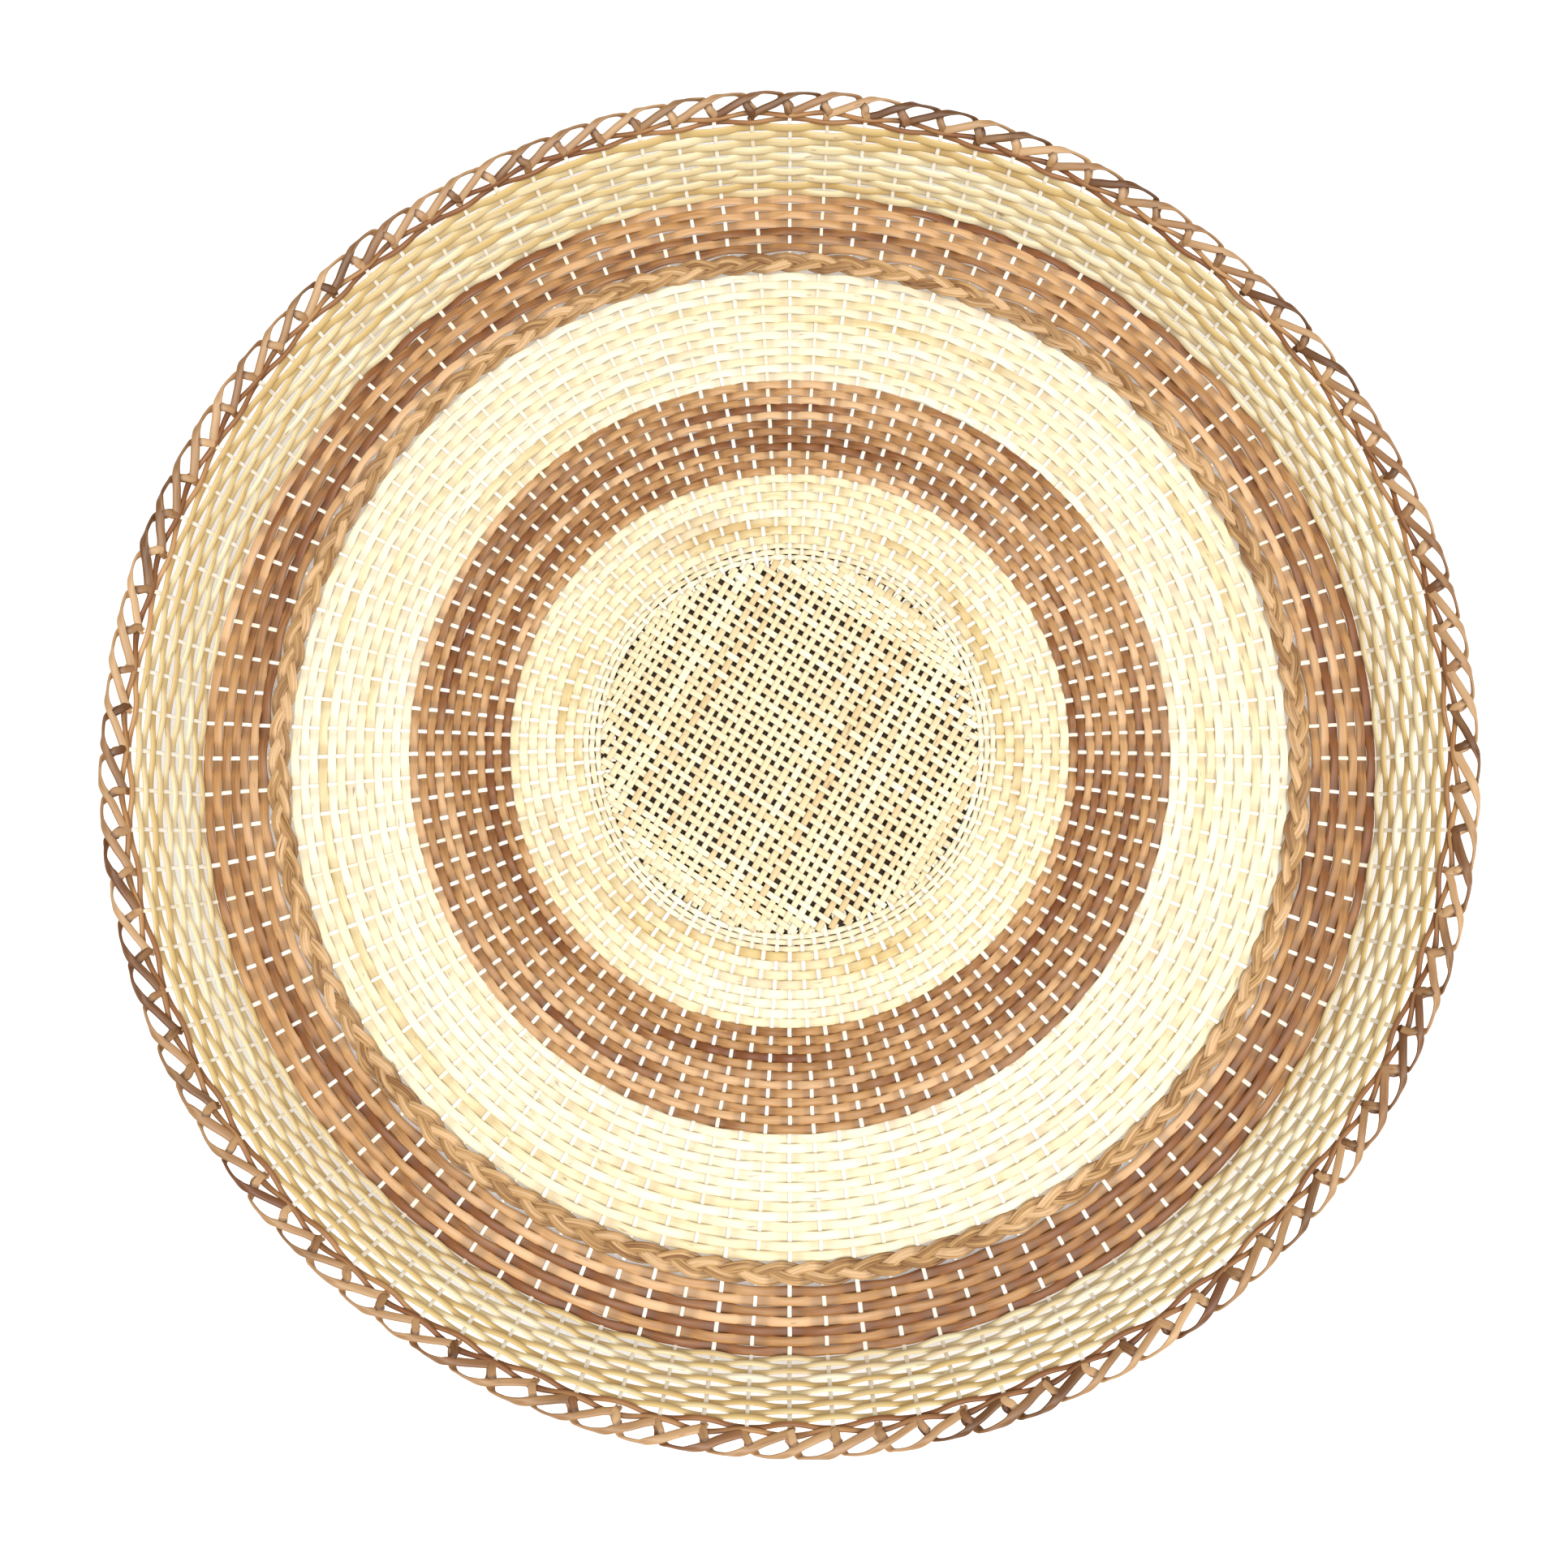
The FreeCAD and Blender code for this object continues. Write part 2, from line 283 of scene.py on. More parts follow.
def strand_mesh(name, path, across, above, half_width, half_height, closed,
                tone, hue, crest, seed, sides=12, squareness=2.0, cut=None):
    """One mesh object from strands of oval section.

    path, across and above are (strands, stations, 3); the other arrays are (strands, stations).
    Corners carry fibre (metres along, metres around, strand number); points carry tone, stain and
    height in the weave, which sets painted shade, and cut, which is 1 at a cut end.
    """
    if cut is None:
        cut = np.zeros_like(half_width)
    if not closed:
        path, across, above, half_width, half_height, (tone, hue, crest, cut) = close_ends(
            path, across, above, half_width, half_height, [tone, hue, crest, cut])
    strands, stations = path.shape[:2]
    angle = np.linspace(0, 2 * np.pi, sides, endpoint=False)
    sideways = np.sign(np.cos(angle)) * np.abs(np.cos(angle)) ** (2 / squareness)
    upwards = np.sign(np.sin(angle)) * np.abs(np.sin(angle)) ** (2 / squareness)
    points = (path[:, :, None, :]
              + across[:, :, None, :] * (half_width[:, :, None] * sideways)[..., None]
              + above[:, :, None, :] * (half_height[:, :, None] * upwards)[..., None])

    runs = stations if closed else stations - 1
    k, i, j = np.meshgrid(np.arange(strands), np.arange(runs), np.arange(sides), indexing="ij")
    step_i, step_j = (i + 1) % stations, (j + 1) % sides

    def index(station, side):
        return (k * stations + station) * sides + side

    # across, above and along are right-handed here, so this order faces outwards
    quads = np.stack([index(i, j), index(i, step_j), index(step_i, step_j), index(step_i, j)], axis=-1)
    gaps = np.linalg.norm(np.diff(path, axis=1, append=path[:, :1]), axis=2)
    along = np.concatenate([np.zeros((strands, 1)), np.cumsum(gaps, axis=1)], axis=1)
    girth = 2 * math.pi * np.sqrt((half_width ** 2 + half_height ** 2) / 2).mean()
    corners = []
    for di, dj in ((0, 0), (0, 1), (1, 1), (1, 0)):
        corners.append(np.stack([along[k, i + di], (j + dj) / sides * girth, seed + k * 1.0], axis=-1))
    fibre = np.stack(corners, axis=-2).reshape(-1, 3)
    loops = quads.reshape(-1)
    starts = np.arange(0, len(loops), 4)
    if not closed:
        ring = np.arange(sides)
        base = np.arange(strands)[:, None] * stations * sides
        first = (base + ring[None, ::-1]).reshape(-1)
        last = (base + (stations - 1) * sides + ring[None, :]).reshape(-1)
        ends = np.concatenate([first, last])
        starts = np.concatenate([starts, len(loops) + np.arange(0, len(ends), sides)])
        fibre = np.concatenate([fibre, np.zeros((len(ends), 3))])
        loops = np.concatenate([loops, ends])

    mesh = bpy.data.meshes.new(name)
    mesh.vertices.add(strands * stations * sides)
    mesh.vertices.foreach_set("co", points.reshape(-1))
    mesh.loops.add(len(loops))
    mesh.loops.foreach_set("vertex_index", loops.astype(np.int32))
    mesh.polygons.add(len(starts))
    mesh.polygons.foreach_set("loop_start", starts.astype(np.int32))
    mesh.update(calc_edges=True)
    mesh.polygons.foreach_set("use_smooth", np.ones(len(starts), dtype=bool))
    mesh.attributes.new("fibre", "FLOAT_VECTOR", "CORNER").data.foreach_set("vector", fibre.reshape(-1))
    dye_and_crest = np.repeat(np.stack([tone, hue, crest], axis=-1)[:, :, None, :], sides, axis=2)
    mesh.attributes.new("dye_and_crest", "FLOAT_VECTOR", "POINT").data.foreach_set("vector", dye_and_crest.reshape(-1))
    ends_cut = np.repeat(cut[:, :, None], sides, axis=2)
    mesh.attributes.new("cut", "FLOAT", "POINT").data.foreach_set("value", ends_cut.reshape(-1))
    if mesh.validate():
        raise RuntimeError(f"{name} has faces that aren't sound")
    piece = bpy.data.objects.new(name, mesh)
    bpy.context.scene.collection.objects.link(piece)
    return piece


def round_points(turn, radius, height):
    """Points at an angle from +X, a radius and a height."""
    return np.stack([radius * np.cos(turn), radius * np.sin(turn), height + 0 * turn], axis=-1)


def finish_piece(piece, material, slot, *nodes):
    """Give a piece its finish and its place in the model."""
    piece.data.materials.append(material)
    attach(piece, "root")
    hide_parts(*nodes)


def woven_row(name, number, place, half_float, half_crossing, thickness, lift, steps, tones, seed,
              sway=0.0, opening=0.0):
    """One turn of a weaver that passes in front of one stake and behind the next.

    Stake 0 stands on +Y and the others follow clockwise. An odd row is in front at even stakes.
    sway is how far the row slips down in front and up behind, and opening is the share of its
    width that it loses away from +Y, where the weave is looser.
    """
    rng = np.random.default_rng(seed)
    radius, height, tilt = place
    stations = STAKES * steps
    count = -np.arange(stations) / steps
    turn = math.pi / 2 - count * 2 * np.pi / STAKES
    phase = 0 if number % 2 else 1
    crest = np.cos(np.pi * (count - phase))
    nearest = np.round(count).astype(int) % STAKES
    weight = np.abs(crest)
    wide = 1 + 0.055 * rng.normal(size=STAKES)[nearest] * weight
    shift = 0.035 * rng.normal(size=STAKES)[nearest] * weight * half_float
    shift += 0.08 * MM * wander(rng, turn, 2, 9) - sway * crest
    from_back = np.abs(np.degrees(np.arctan2(np.cos(turn), np.sin(turn))))
    loose = smooth_step((from_back - LOOSE_FROM) / LOOSE_SPAN)
    wide = wide * (1 - opening * loose)
    high = 1 + 0.07 * rng.normal(size=STAKES)[nearest] * weight
    bow = np.sign(crest) * weight ** 0.85 * lift * high
    centre_radius = radius - bow * math.sin(tilt) + shift * math.cos(tilt)
    centre_height = height + bow * math.cos(tilt) + shift * math.sin(tilt)
    path = round_points(turn, centre_radius, centre_height)[None]
    out = round_points(turn, 1.0, 0.0)
    up = out * -math.sin(tilt) + np.array([0, 0, math.cos(tilt)])
    across, above = strand_frames(path, up[None], True)
    # behind a stake the weaver has room to spread, which closes the weave
    front, back = np.clip(crest, 0, 1) ** 1.5, np.clip(-crest, 0, 1) ** 1.5
    half_width = half_crossing + (half_float - half_crossing) * front + 0.22 * half_crossing * back
    half_width = (half_width * wide)[None]
    half_height = thickness / 2 * (0.94 + 0.06 * weight)
    half_height = (half_height * (1 + 0.02 * wander(rng, turn, 3, 12)))[None]
    tone, hue = tones(rng, turn)
    return strand_mesh(name, path, across, above, half_width, half_height, True,
                       tone[None], hue[None], crest[None], seed, squareness=2.2)


# ---------------------------------------------------------------- finishes


def add_node(tree, kind, inputs=None, **settings):
    """Add a node with its settings, and link or set its inputs."""
    node = tree.nodes.new(kind)
    for name, value in settings.items():
        setattr(node, name, value)
    for socket, value in (inputs or {}).items():
        if isinstance(value, bpy.types.NodeSocket):
            tree.links.new(value, node.inputs[socket])
        else:
            node.inputs[socket].default_value = value
    return node


def fibre_finish(name, dark, middle, light, stain, roughness, streak_mm, tone_share, streak_share,
                 patch_share, shade_in_dips, speck_share, bump_mm, shadow="6b4526", coat=0.0):
    """A finish for a split and scraped strand, drawn from fibre, tone and stain, with painted shade where
    it dips.

    streak_mm is the length and width of its fibre bundles. The shares say how far the strand's own
    tone, its streaks and its slow patches move the colour from the middle one. shade_in_dips is how
    far painted shade darkens it towards the shadow colour where it dips under its neighbours.
    """
    material = bpy.data.materials.new(name)
    material.use_nodes = True
    tree = material.node_tree
    tree.nodes.clear()
    fibre = add_node(tree, "ShaderNodeAttribute", attribute_name="fibre").outputs["Vector"]
    dye_and_crest = add_node(tree, "ShaderNodeAttribute", attribute_name="dye_and_crest").outputs["Vector"]
    cut = add_node(tree, "ShaderNodeAttribute", attribute_name="cut").outputs["Fac"]
    parts = add_node(tree, "ShaderNodeSeparateXYZ", {0: dye_and_crest}).outputs

    # fibre bundles run along the strand, and each strand has its own; patches about 22 mm long and
    # 4 mm across lie where it was scraped thinner or weathered; old knots and scratches are marks
    # about 6 mm long and 1 mm across
    patterns = []
    for stretch, detail, rough in (((1000 / streak_mm[0], 1000 / streak_mm[1], 13.7), 3.0, 0.6),
                                   ((45.0, 250.0, 5.3), 2.0, 0.5), ((160.0, 900.0, 3.1), 1.0, 0.5)):
        run = add_node(tree, "ShaderNodeVectorMath", {0: fibre, 1: stretch}, operation="MULTIPLY")
        patterns.append(add_node(tree, "ShaderNodeTexNoise", {
            "Vector": run.outputs[0], "Scale": 1.0, "Detail": detail, "Roughness": rough}).outputs[0])
    streaks, patches, marks = patterns

    level = add_node(tree, "ShaderNodeMath", {0: parts[0], 1: tone_share, 2: 0.5}, operation="MULTIPLY_ADD")
    for source, share in ((streaks, streak_share), (patches, patch_share)):
        centred = add_node(tree, "ShaderNodeMath", {0: source, 1: 0.5}, operation="SUBTRACT")
        level = add_node(tree, "ShaderNodeMath", {0: centred.outputs[0], 1: share, 2: level.outputs[0]},
                         operation="MULTIPLY_ADD")
    ramp = add_node(tree, "ShaderNodeValToRGB", {0: level.outputs[0]})
    ramp.color_ramp.elements.new(0.5)
    for element, position, colour in zip(ramp.color_ramp.elements, (0.0, 0.5, 1.0), (dark, middle, light)):
        element.position = position
        element.color = (*colour, 1)
    colour = ramp.outputs[0]

    stained = add_node(tree, "ShaderNodeMapRange", {0: parts[1], 1: 0.0, 2: 1.0, 3: 0.0, 4: 0.75})
    specks = add_node(tree, "ShaderNodeMapRange", {0: marks, 1: 0.70, 2: 0.80, 3: 0.0, 4: speck_share})
    # painted shade darkens a strand towards the shadow colour where it dips under its neighbours
    dips = add_node(tree, "ShaderNodeMapRange", {0: parts[2], 1: 0.15, 2: -0.75, 3: 0.0, 4: shade_in_dips},
                    interpolation_type="SMOOTHSTEP")
    ends = add_node(tree, "ShaderNodeMath", {0: cut, 1: 0.75}, operation="MULTIPLY")
    for factor, tint in ((stained, stain), (specks, KNOT_BROWN), (dips, linear(shadow)),
                         (ends, CUT_END_BROWN)):
        mix = add_node(tree, "ShaderNodeMix", {"Factor": factor.outputs[0], "A": colour,
                                               "B": (*tint, 1)}, data_type="RGBA")
        colour = mix.outputs["Result"]

    rough = add_node(tree, "ShaderNodeMapRange", {0: streaks, 1: 0.3, 2: 0.7, 3: roughness - 0.06,
                                                  4: roughness + 0.08})
    bump = add_node(tree, "ShaderNodeBump", {"Strength": 0.6, "Distance": bump_mm * MM, "Height": streaks})
    shader = add_node(tree, "ShaderNodeBsdfPrincipled", {
        "Base Color": colour, "Roughness": rough.outputs[0], "IOR": 1.42, "Normal": bump.outputs[0],
        "Coat Weight": coat, "Coat Roughness": 0.35})
    add_node(tree, "ShaderNodeOutputMaterial", {"Surface": shader.outputs[0]})
    return material


def scraped_rattan_core(colours):
    """Pale rattan core, split and scraped: creamy, satin, with fine lengthwise grain."""
    return fibre_finish("scraped_rattan_core", colours.natural_dark, colours.natural_middle,
                        colours.natural_light, linear("c79a62"), roughness=0.5, streak_mm=(14, 0.7),
                        tone_share=0.42, streak_share=0.7, patch_share=0.9, shade_in_dips=0.22,
                        speck_share=0.55, bump_mm=0.12, shadow="8a5a2e")


def smoked_rattan_core(colours):
    """Rattan core browned over smoke: uneven reddish browns, satin, grain a little darker."""
    return fibre_finish("smoked_rattan_core", colours.brown_dark, colours.brown_middle,
                        colours.brown_light, colours.brown_red, roughness=0.46, streak_mm=(16, 0.7),
                        tone_share=0.40, streak_share=0.8, patch_share=1.0, shade_in_dips=0.34,
                        speck_share=0.5, bump_mm=0.12, shadow="4c2c17", coat=0.08)


def peeled_white_cane(colours):
    """Cane peeled to its white inner wood: nearly white, smooth, slightly glossy edges."""
    return fibre_finish("peeled_white_cane", colours.white_dark, colours.white_middle,
                        colours.white_light, linear("d3b184"), roughness=0.48, streak_mm=(18, 0.5),
                        tone_share=0.35, streak_share=0.6, patch_share=0.6, shade_in_dips=0.22,
                        speck_share=0.35, bump_mm=0.06, shadow="a77f4e")


def shaved_cream_cane(colours):
    """Cane shaved to thin strips: cream, satin, with faint lengthwise grain."""
    return fibre_finish("shaved_cream_cane", colours.cream_dark, colours.cream_middle,
                        colours.cream_light, linear("cfa876"), roughness=0.5, streak_mm=(18, 0.5),
                        tone_share=0.38, streak_share=0.7, patch_share=0.7, shade_in_dips=0.26,
                        speck_share=0.4, bump_mm=0.06, shadow="a17a48")


def split_tan_cane(colours):
    """Cane split with a trace of its skin left on: cream to light tan, smooth."""
    return fibre_finish("split_tan_cane", colours.tan_dark, colours.tan_middle,
                        colours.tan_light, linear("c99f6c"), roughness=0.5, streak_mm=(18, 0.5),
                        tone_share=0.40, streak_share=0.6, patch_share=0.7, shade_in_dips=0.24,
                        speck_share=0.5, bump_mm=0.06, shadow="a1713c")


def plaited_rattan_peel(colours):
    """Flat bundles of rattan peel, plaited by hand: matte tan-brown with clear fibres."""
    return fibre_finish("plaited_rattan_peel", colours.plait_dark, colours.plait_middle,
                        colours.plait_light, linear("8b6443"), roughness=0.55, streak_mm=(12, 0.8),
                        tone_share=0.35, streak_share=1.1, patch_share=0.6, shade_in_dips=0.40,
                        speck_share=0.4, bump_mm=0.2, shadow="5d3c22")


def bent_border_rattan(colours):
    """Whole thin rattan with its smooth skin, bent while wet: tan-brown with a soft gloss."""
    return fibre_finish("bent_border_rattan", colours.border_dark, colours.border_middle,
                        colours.border_light, linear("7c4c2c"), roughness=0.42, streak_mm=(16, 0.8),
                        tone_share=0.45, streak_share=0.7, patch_share=0.8, shade_in_dips=0.0,
                        speck_share=0.5, bump_mm=0.1, coat=0.12)


def shade_dark_bamboo_splint(colours):
    """Wide bamboo splints, nearly black-brown and matte: partly a second layer, partly painted shade seen
    through the mat's holes.
    """
    middle = [(a + b) / 2 for a, b in zip(colours.splint_dark, colours.splint_light)]
    return fibre_finish("shade_dark_bamboo_splint", colours.splint_dark, middle, colours.splint_light,
                        linear("2a1a0e"), roughness=0.7, streak_mm=(25, 1.0), tone_share=0.4,
                        streak_share=0.9, patch_share=0.5, shade_in_dips=0.4, speck_share=0.2, bump_mm=0.1,
                        shadow="0d0805")


def matte_sweep_paper(colours):
    """Uncoated paper sweep: pale and matte, with a fine tooth."""
    material = bpy.data.materials.new("matte_sweep_paper")
    material.use_nodes = True
    tree = material.node_tree
    tree.nodes.clear()
    place = add_node(tree, "ShaderNodeTexCoord").outputs["Object"]
    # tooth about 1.5 mm across, coarser than real paper so that it shows
    tooth = add_node(tree, "ShaderNodeTexNoise", {"Vector": place, "Scale": 650.0, "Detail": 2.0})
    bump = add_node(tree, "ShaderNodeBump", {"Strength": 0.1, "Distance": 0.05 * MM,
                                             "Height": tooth.outputs[0]})
    shader = add_node(tree, "ShaderNodeBsdfPrincipled", {
        "Base Color": (*colours.floor, 1), "Roughness": 0.85, "Normal": bump.outputs[0],
        "Emission Color": (1, 1, 1, 1), "Emission Strength": 0.25})
    add_node(tree, "ShaderNodeOutputMaterial", {"Surface": shader.outputs[0]})
    return material


def finish(maker, context):
    """The finish that a function makes, made the first time it is asked for."""
    return bpy.data.materials.get(maker.__name__) or maker(context.scene.basket_colours)


# ---------------------------------------------------------------- operators


def weave_band(context, bands, material):
    """Weave every row of the named bands."""
    sizes = context.scene.basket_sizes
    for row in weave_plan(sizes):
        band = row["band"]
        if band not in bands:
            continue
        number = row["number"]

        def tones(rng, turn, band=band, number=number):
            return row_tones(rng, turn, band, number)

        # the strands press into each other a little where they cross
        lift = 0.9 * (row["thickness"] + sizes.stake_thickness) / 2
        piece = woven_row("woven_" + row["node"], number, row["place"], row["float"], row["crossing"],
                          row["thickness"], lift, sizes.float_steps, tones, seed=number,
                          sway=row["sway"], opening=WALL_OPENING if band == "wall_natural" else 0.0)
        finish_piece(piece, material, row["slot"], row["node"])


def row_tones(rng, turn, band, number):
    """How light and how red a row is round its turn."""
    if band == "outer_brown":
        last = 1.0 if number == LAST_OUTER_ROW else 0.0
        tone = 0.35 * rng.normal() + 0.8 * wander(rng, turn, 1, 6) - 0.6 * last
        hue = np.clip(0.45 * wander(rng, turn, 1, 5) + 0.2 * rng.normal() - 0.1 + 0.4 * last, 0, 1)
    elif band == "inner_brown":
        tone = 0.35 * rng.normal() + 0.6 * wander(rng, turn, 1, 6)
        hue = np.clip(0.5 * wander(rng, turn, 1, 6) - 0.15, 0, 1)
    elif band == "top_brown":
        tone = -0.7 + 0.4 * wander(rng, turn, 1, 8)
        hue = np.clip(0.1 + 0.3 * wander(rng, turn, 1, 6), 0, 1)
    else:
        mean = {"inner_natural": 0.15, "middle_natural": 0.75, "wall_natural": -0.42}[band]
        tone = mean + 0.35 * rng.normal() + 0.45 * wander(rng, turn, 1, 6)
        hue = np.clip(0.25 * wander(rng, turn, 1, 9) - 0.14, 0, 0.5)
    return tone, hue


class BASKET_OT_natural_rows(bpy.types.Operator):
    """Weave the pale rows of the base and the wall"""

    bl_idname = "basket.natural_rows"
    bl_label = "Natural Weavers"

    def execute(self, context):
        material = finish(scraped_rattan_core, context)
        weave_band(context, ("inner_natural", "middle_natural", "wall_natural"), material)
        return {"FINISHED"}


class BASKET_OT_brown_rows(bpy.types.Operator):
    """Weave the brown rows of the base and the two thin ones at the wall's top"""

    bl_idname = "basket.brown_rows"
    bl_label = "Brown Weavers"

    def execute(self, context):
        material = finish(smoked_rattan_core, context)
        weave_band(context, ("inner_brown", "outer_brown", "top_brown"), material)
        return {"FINISHED"}


FINE_ROWS = 3
FINE_SPACING = 7.1 / 3 * MM
# from the outer edge of the outermost fine row in the model to its middle
FINE_INSET = 0.85 * MM
# the share of its width that a fine row keeps between the stakes
FINE_CROSSING = 1 / 1.1


class BASKET_OT_fine_rows(bpy.types.Operator):
    """Weave the three fine white rows that hold the mat's edge"""

    bl_idname = "basket.fine_rows"
    bl_label = "Fine White Weavers"

    def execute(self, context):
        sizes = context.scene.basket_sizes
        material = finish(shaved_cream_cane, context)
        level = weave_plan(sizes)[0]["place"][1]
        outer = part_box("fine_rows")[1].x - FINE_INSET
        for index in range(FINE_ROWS):
            number = index + 1 - FINE_ROWS
            place = (outer + number * FINE_SPACING, level, 0.0)
            piece = woven_row(f"fine_row_{index + 1}", number, place, sizes.fine_width / 2,
                              sizes.fine_width / 2 * FINE_CROSSING, sizes.fine_thickness,
                              (sizes.fine_thickness + sizes.stake_thickness) / 2,
                              sizes.float_steps, fine_tones, seed=70 + index)
            finish_piece(piece, material, "white_cane", "fine_rows")
        return {"FINISHED"}


def fine_tones(rng, turn):
    """Fine white rows differ little."""
    return 0.3 * rng.normal() + 0.4 * wander(rng, turn, 1, 9), np.zeros_like(turn)


# how far a stake moves back and forward at the rows, and how far it strays to the side
STAKE_GIVE = 0.3 * MM
STAKE_LEAN = 0.15 * MM


class BASKET_OT_stakes(bpy.types.Operator):
    """Run the flat stakes from under the mat to the border"""

    bl_idname = "basket.stakes"
    bl_label = "Stakes"

    def execute(self, context):
        sizes = context.scene.basket_sizes
        material = finish(peeled_white_cane, context)
        rng = np.random.default_rng(90)
        line = stake_line(sizes)
        numbers = line[:, 2]
        line = line[:, :2]
        count = len(line)
        ways = unit(np.gradient(line, axis=0))
        normals = np.stack([-ways[:, 1], ways[:, 0]], axis=1)
        index = np.arange(count)
        # a stake gives way to the weaver in front of it, and bows forward where it passes behind
        alternate = np.where(numbers == 0, 0, np.where(numbers % 2 == 1, -1, 1))
        stake = np.arange(STAKES)
        give = STAKE_GIVE * alternate[None, :] * np.where(stake % 2 == 0, 1, -1)[:, None]
        fine = np.linspace(0, count - 1, 2 * count - 1)
        turn = math.pi / 2 - stake * 2 * math.pi / STAKES
        radial = line[None, :, 0] + give * normals[None, :, 0]
        height = line[None, :, 1] + give * normals[None, :, 1]
        lean = STAKE_LEAN * rng.normal(size=(STAKES, count))
        lean[:, :2] = 0
        lean = (lean + np.roll(lean, 1, axis=1) + np.roll(lean, -1, axis=1)) / 3
        radial, height, lean = (np.stack([np.interp(fine, index, row) for row in values])
                                for values in (radial, height, lean))
        out = np.stack([np.cos(turn), np.sin(turn), 0 * turn], axis=-1)[:, None, :]
        side = np.stack([-np.sin(turn), np.cos(turn), 0 * turn], axis=-1)[:, None, :]
        upright = np.array([0.0, 0.0, 1.0])
        path = out * radial[..., None] + side * lean[..., None] + upright * height[..., None]
        normal_radial = np.interp(fine, index, normals[:, 0])
        normal_height = np.interp(fine, index, normals[:, 1])
        up = out * normal_radial[None, :, None] + upright * normal_height[None, :, None]
        across, above = strand_frames(path, up, False)
        shape = path.shape[:2]
        width = sizes.stake_width / 2 * (1 + 0.06 * rng.normal(size=(STAKES, 1))) * np.ones(shape)
        thick = sizes.stake_thickness / 2 * np.ones(shape)
        tone = 0.5 * rng.normal(size=(STAKES, 1)) * np.ones(shape)
        piece = strand_mesh("stakes_round_the_basket", path, across, above, width, thick, False, tone,
                            np.zeros(shape), np.ones(shape), 200, sides=8, squareness=3.5)
        finish_piece(piece, material, "white_cane", "stakes")
        return {"FINISHED"}


PLAIT_NAMES = ("inner", "middle", "outer")
PLAIT_STEPS = 13
# how far a strand swings to each side, and where the plait's middle lies from the rows' middle
PLAIT_SWING = 2.4 * MM
PLAIT_SHIFT = -0.35 * MM
# a strand's height over the stakes' middle, and how far it rises and dips where strands cross
PLAIT_HEIGHT = 1.2 * MM
PLAIT_CROSSING = 0.6 * MM
# the peels of a strand, how far its outer peels lie from its middle, and how much the middle crowns
PEELS = 4
PEEL_SPREAD = 1.3 * MM
PEEL_CROWN = 0.25 * MM


class BASKET_OT_plait(bpy.types.Operator):
    """Plait the three brown strands of the raised ring"""

    bl_idname = "basket.plait"
    bl_label = "Plait"

    def execute(self, context):
        sizes = context.scene.basket_sizes
        material = finish(plaited_rattan_peel, context)
        radius, height, tilt = plait_place(sizes)
        count = -np.arange(STAKES * PLAIT_STEPS) / PLAIT_STEPS
        turn = math.pi / 2 - count * 2 * np.pi / STAKES
        out = round_points(turn, 1.0, 0.0)
        up = out * -math.sin(tilt) + np.array([0, 0, math.cos(tilt)])
        for strand, name in enumerate(PLAIT_NAMES):
            rng = np.random.default_rng(120 + strand)
            phase = 2 * np.pi * (count - strand) / len(PLAIT_NAMES)
            uneven = 1 + 0.08 * wander(rng, turn, 20, 60)
            sideways = PLAIT_SHIFT + PLAIT_SWING * np.sin(phase) * uneven
            # over the others on the way from either edge to the middle, under them on the way out
            crest = -np.sin(2 * phase)
            rise = PLAIT_HEIGHT + PLAIT_CROSSING * crest
            path_radius = radius - rise * math.sin(tilt) + sideways * math.cos(tilt)
            path_height = height + rise * math.cos(tilt) + sideways * math.sin(tilt)
            path = round_points(turn, path_radius, path_height)[None]
            across, above = strand_frames(path, up[None], True)
            # a strand is a bundle of peels that lie side by side and ride up on each other
            lanes = np.linspace(-1, 1, PEELS)[:, None]
            slip = np.stack([0.16 * MM * wander(rng, turn, 15, 70) for _ in lanes])
            ride_up = np.stack([0.10 * MM * wander(rng, turn, 25, 90) for _ in lanes])
            ride_up += PEEL_CROWN * (1 - lanes ** 2)
            path = path + across * (PEEL_SPREAD * lanes + slip)[..., None] + above * ride_up[..., None]
            shape = path.shape[:2]
            across, above = (np.broadcast_to(ways, path.shape) for ways in (across, above))
            width = sizes.peel_width / 2 * (1 + 0.1 * rng.normal(size=(PEELS, 1))) * np.ones(shape)
            thick = sizes.peel_thickness / 2 * np.ones(shape)
            tone = 0.2 * rng.normal() + 0.6 * rng.normal(size=(PEELS, 1)) + 0.5 * wander(rng, turn, 2, 30)
            hue = np.clip(0.25 * wander(rng, turn, 2, 12), 0, 1) * np.ones(shape)
            piece = strand_mesh(f"plaited_strand_{name}", path, across, above, width, thick, True,
                                tone, hue, crest * np.ones(shape), 120 + PEELS * strand, sides=8,
                                squareness=2.3)
            finish_piece(piece, material, "plaited_cord", "plait_strands")
        return {"FINISHED"}


FALLING, RISING = math.radians(-33.0), math.radians(60.0)
# how far out the strips of each layer lie evenly, over what distance they then draw together, and
# by what share of their spacing
EVEN_FALLING, EVEN_RISING = 46 * MM, 53 * MM
CLOSING_RUN, CLOSING_SHARE = 18 * MM, 0.38
STRIP_THICKNESS, STRIP_LIFT = 0.4 * MM, 0.2 * MM
SPLINT_SPACING, SPLINT_WIDTH = 8.4 * MM, 8.1 * MM
SPLINT_THICKNESS, SPLINT_LIFT = 0.30 * MM, 0.14 * MM


def mat_offsets(rng, radius, pitch, even):
    """Where the strips of one direction lie: even out to a distance, then drawn together."""
    offsets = [0.0]
    while offsets[-1] < radius:
        closing = smooth_step((offsets[-1] - even) / CLOSING_RUN)
        offsets.append(offsets[-1] + pitch * (1 - CLOSING_SHARE * closing))
    half = np.array(offsets[1:])
    offsets = np.concatenate([-half[::-1], [0.0], half])
    return offsets + 0.05 * pitch * rng.normal(size=len(offsets))


